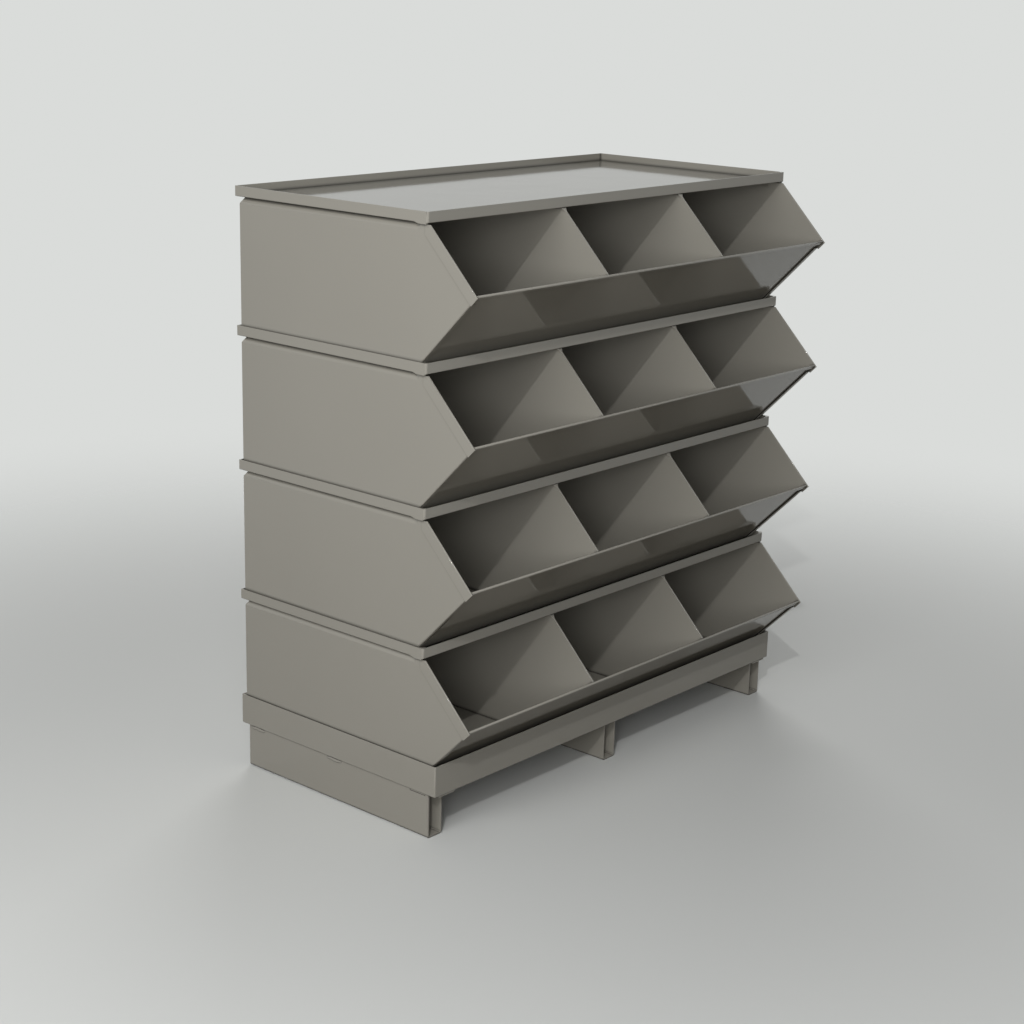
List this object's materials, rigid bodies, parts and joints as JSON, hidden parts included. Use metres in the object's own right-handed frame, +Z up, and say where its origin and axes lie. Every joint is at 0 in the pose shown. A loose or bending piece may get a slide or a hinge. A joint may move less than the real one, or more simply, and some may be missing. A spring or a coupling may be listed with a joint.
{
  "type": "stacking storage bin",
  "caption": "Free-standing stack of wide hopper-front storage bins of painted sheet steel, each split into compartments, in a tray on skids under a loose cover plate",
  "frame": {"origin": "on the floor under the middle of the whole stack's box", "axes": "+Z up, open fronts face -Y, +X to the right seen from the front"},
  "size_m": [0.94, 0.5352, 1.0083],
  "materials": {
    "bin_enamel": "warm grey gloss baked enamel on sheet steel",
    "base_enamel": "the same enamel on the tray, its corner plates and the skids",
    "cover_enamel": "the same enamel on the flat cover plate"
  },
  "bodies": {
    "base": {"base_tray": "base_enamel", "skid_left": "base_enamel", "skid_middle": "base_enamel", "skid_right": "base_enamel", "corner_plate_left": "base_enamel", "corner_plate_right": "base_enamel"},
    "bin_4": {"bin_4_left_side": "bin_enamel", "bin_4_right_side": "bin_enamel", "bin_4_back": "bin_enamel", "bin_4_hopper": "bin_enamel", "bin_4_front_rail": "bin_enamel", "bin_4_divider_left": "bin_enamel", "bin_4_divider_right": "bin_enamel"},
    "bin_3": {"bin_3_left_side": "bin_enamel", "bin_3_right_side": "bin_enamel", "bin_3_back": "bin_enamel", "bin_3_hopper": "bin_enamel", "bin_3_front_rail": "bin_enamel", "bin_3_divider_left": "bin_enamel", "bin_3_divider_right": "bin_enamel"},
    "bin_2": {"bin_2_left_side": "bin_enamel", "bin_2_right_side": "bin_enamel", "bin_2_back": "bin_enamel", "bin_2_hopper": "bin_enamel", "bin_2_front_rail": "bin_enamel", "bin_2_divider_left": "bin_enamel", "bin_2_divider_right": "bin_enamel"},
    "bin_1": {"bin_1_left_side": "bin_enamel", "bin_1_right_side": "bin_enamel", "bin_1_back": "bin_enamel", "bin_1_hopper": "bin_enamel", "bin_1_front_rail": "bin_enamel", "bin_1_divider_left": "bin_enamel", "bin_1_divider_right": "bin_enamel"},
    "cover": {"cover_plate": "cover_enamel"}
  },
  "joints": [
    {"name": "bin_4_lift", "type": "slide", "parent": "base", "child": "bin_4", "axis": [0, 0, 1], "range_m": [0, 0.2]},
    {"name": "bin_3_lift", "type": "slide", "parent": "bin_4", "child": "bin_3", "axis": [0, 0, 1], "range_m": [0, 0.15]},
    {"name": "bin_2_lift", "type": "slide", "parent": "bin_3", "child": "bin_2", "axis": [0, 0, 1], "range_m": [0, 0.15]},
    {"name": "bin_1_lift", "type": "slide", "parent": "bin_2", "child": "bin_1", "axis": [0, 0, 1], "range_m": [0, 0.15]},
    {"name": "cover_lift", "type": "slide", "parent": "bin_1", "child": "cover", "axis": [0, 0, 1], "range_m": [0, 0.15]}
  ]
}
